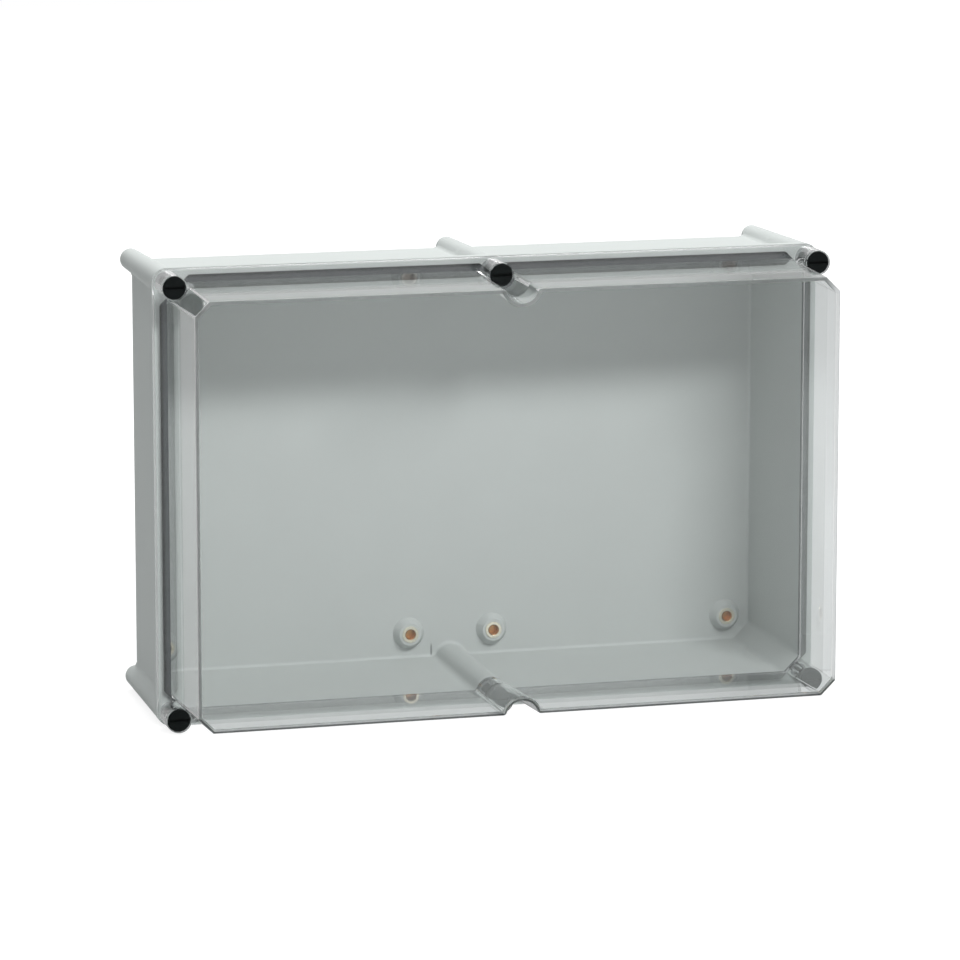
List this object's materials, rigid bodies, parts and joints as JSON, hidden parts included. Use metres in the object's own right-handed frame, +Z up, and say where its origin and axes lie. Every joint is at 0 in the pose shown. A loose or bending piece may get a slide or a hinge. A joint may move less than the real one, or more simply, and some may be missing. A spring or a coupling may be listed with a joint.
{
  "type": "polyester enclosure with clear cover",
  "caption": "Wall-mounted grey polyester enclosure with a deep clear cover, held by captive quarter-turn screws at the heads of full-depth columns.",
  "frame": {"origin": "middle of the wall plane that the six column feet touch", "axes": "+X right, +Z up, +Y into the wall, so the cover faces -Y"},
  "size_m": [0.54, 0.227, 0.36],
  "materials": {
    "polyester_grey": "moulded glass-fibre polyester, fine satin grain",
    "clear_polycarbonate": "clear, polished",
    "gasket_foam": "dark foam",
    "screw_polyamide": "black, fine matt",
    "retainer_polyamide": "black, matt",
    "socket_polyamide": "grey, matt",
    "insert_brass": "turned"
  },
  "bodies": {
    "base": {"base_tray": "polyester_grey", "column_socket_1": "socket_polyamide", "column_socket_2": "socket_polyamide", "column_socket_3": "socket_polyamide", "column_socket_4": "socket_polyamide", "column_socket_5": "socket_polyamide", "column_socket_6": "socket_polyamide", "back_insert_1": "insert_brass", "back_insert_2": "insert_brass", "back_insert_3": "insert_brass", "back_insert_4": "insert_brass", "back_insert_5": "insert_brass", "back_insert_6": "insert_brass", "back_insert_7": "insert_brass", "back_insert_8": "insert_brass"},
    "cover": {"clear_cover": "clear_polycarbonate", "cover_gasket": "gasket_foam"},
    "screw_top_left": {"cover_screw_1": "screw_polyamide", "screw_retainer_1": "retainer_polyamide"},
    "screw_top_middle": {"cover_screw_2": "screw_polyamide", "screw_retainer_2": "retainer_polyamide"},
    "screw_top_right": {"cover_screw_3": "screw_polyamide", "screw_retainer_3": "retainer_polyamide"},
    "screw_bottom_left": {"cover_screw_4": "screw_polyamide", "screw_retainer_4": "retainer_polyamide"},
    "screw_bottom_middle": {"cover_screw_5": "screw_polyamide", "screw_retainer_5": "retainer_polyamide"},
    "screw_bottom_right": {"cover_screw_6": "screw_polyamide", "screw_retainer_6": "retainer_polyamide"}
  },
  "joints": [
    {"name": "cover_lift", "type": "slide", "parent": "base", "child": "cover", "axis": [0, -1, 0], "range_m": [0, 0.06]},
    {"name": "screw_top_left_turn", "type": "hinge", "parent": "cover", "child": "screw_top_left", "pos_m": [-0.259, -0.165, 0.169], "axis": [0, -1, 0], "range_deg": [0, 90]},
    {"name": "screw_top_middle_turn", "type": "hinge", "parent": "cover", "child": "screw_top_middle", "pos_m": [0, -0.165, 0.169], "axis": [0, -1, 0], "range_deg": [0, 90]},
    {"name": "screw_top_right_turn", "type": "hinge", "parent": "cover", "child": "screw_top_right", "pos_m": [0.259, -0.165, 0.169], "axis": [0, -1, 0], "range_deg": [0, 90]},
    {"name": "screw_bottom_left_turn", "type": "hinge", "parent": "cover", "child": "screw_bottom_left", "pos_m": [-0.259, -0.165, -0.169], "axis": [0, -1, 0], "range_deg": [0, 90]},
    {"name": "screw_bottom_middle_turn", "type": "hinge", "parent": "cover", "child": "screw_bottom_middle", "pos_m": [0, -0.165, -0.169], "axis": [0, -1, 0], "range_deg": [0, 90]},
    {"name": "screw_bottom_right_turn", "type": "hinge", "parent": "cover", "child": "screw_bottom_right", "pos_m": [0.259, -0.165, -0.169], "axis": [0, -1, 0], "range_deg": [0, 90]}
  ]
}
